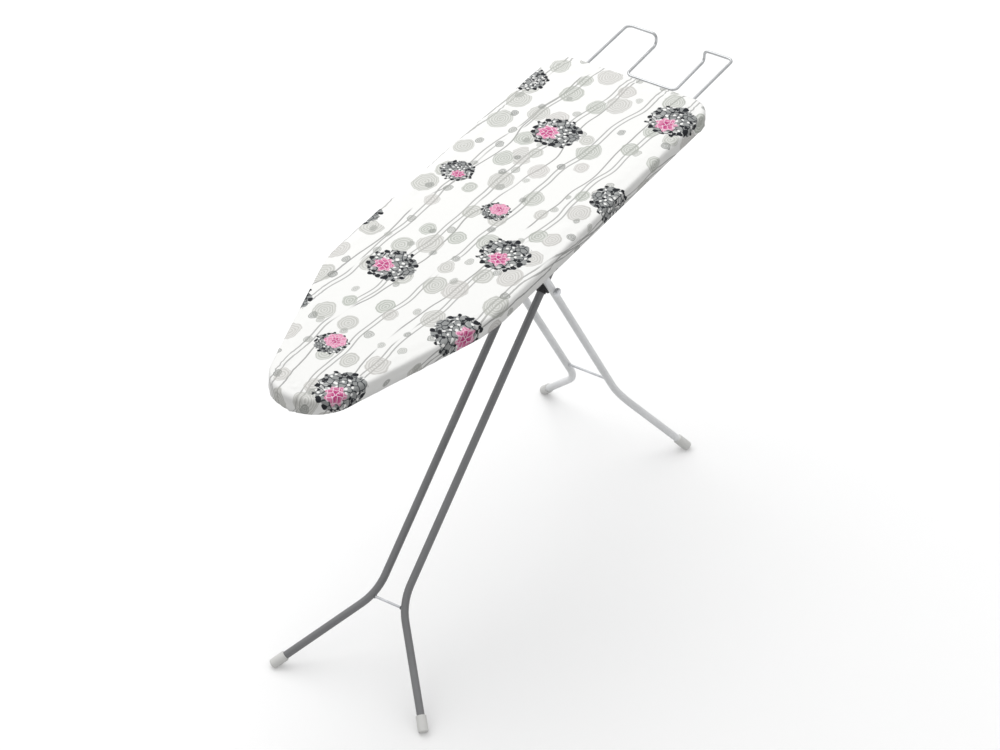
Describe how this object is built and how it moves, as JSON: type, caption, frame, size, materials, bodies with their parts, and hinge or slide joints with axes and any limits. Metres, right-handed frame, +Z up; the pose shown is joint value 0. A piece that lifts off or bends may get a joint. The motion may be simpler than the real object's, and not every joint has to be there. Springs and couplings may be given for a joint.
{
  "type": "ironing board",
  "caption": "Free-standing ironing board: padded, cloth-covered top with a tapered nose and a wire iron rest, on crossed tubular legs that fold flat under it.",
  "frame": {"origin": "on the floor, under the middle of the object's whole length, on its plane of symmetry", "axes": "+X along the board from the rounded nose to the square tail and the iron rest, +Z up, +Y to the left of a person who looks from the nose to the tail"},
  "size_m": [1.326, 0.3566, 0.815],
  "materials": {
    "cover_cotton": "printed woven cotton",
    "felt": "needled felt",
    "sheet_paint": "satin powder coat on perforated sheet",
    "dark_paint": "satin powder coat",
    "silver_paint": "satin powder coat",
    "bright_wire": "bright plated wire",
    "zinc": "zinc plated",
    "black_plastic": "moulded, fine texture",
    "foot_plastic": "moulded, soft sheen",
    "nylon": "natural nylon"
  },
  "bodies": {
    "board": {"cover": "cover_cotton", "felt_pad": "felt", "top_panel": "sheet_paint", "rim_frame": "sheet_paint", "cross_rib_nose": "sheet_paint", "cross_rib_tail": "sheet_paint", "iron_rest_wire": "bright_wire", "rest_holder_left": "black_plastic", "rest_holder_right": "black_plastic", "holder_screws": "zinc", "hinge_bracket": "zinc", "hinge_pin": "zinc", "pin_push_nut": "zinc", "guide_rail_left": "zinc", "guide_rail_right": "zinc", "bracket_rivets": "zinc", "lever_bracket_left": "zinc", "lever_bracket_right": "zinc"},
    "inner_legs": {"inner_tube_left": "dark_paint", "inner_tube_right": "dark_paint", "inner_brace": "zinc", "inner_foot_left": "foot_plastic", "inner_foot_right": "foot_plastic", "inner_end_plugs": "black_plastic", "hinge_washers": "nylon", "cross_axle": "zinc", "pivot_collar_left": "black_plastic", "pivot_collar_right": "black_plastic", "centre_sleeve": "zinc", "axle_caps": "zinc"},
    "outer_legs": {"outer_tube_left": "silver_paint", "outer_tube_right": "silver_paint", "outer_brace": "zinc", "outer_foot_left": "foot_plastic", "outer_foot_right": "foot_plastic", "outer_end_plugs": "black_plastic", "slide_bar": "zinc", "slide_shoe_left": "nylon", "slide_shoe_right": "nylon"},
    "height_lever": {"lever_rod": "zinc", "lever_grip": "black_plastic", "catch_plate": "zinc", "lever_spring": "zinc"}
  },
  "joints": [
    {"name": "fold", "type": "hinge", "parent": "board", "child": "inner_legs", "pos_m": [0.3441, 0, 0.765], "axis": [0, 1, 0], "range_deg": [0, 38.65]},
    {"name": "cross_pivot", "type": "hinge", "parent": "inner_legs", "child": "outer_legs", "pos_m": [0.11, 0, 0.564], "axis": [0, 1, 0], "range_deg": [-94.6, 0]},
    {"name": "lever_lift", "type": "hinge", "parent": "board", "child": "height_lever", "pos_m": [0.045, 0, 0.785], "axis": [0, 1, 0], "range_deg": [0, 5], "stiffness_Nm_per_rad": 3, "springref_deg": -14.32}
  ],
  "couplings": [
    {"joint": "cross_pivot", "follows": "fold", "ratio": -2.4453}
  ]
}
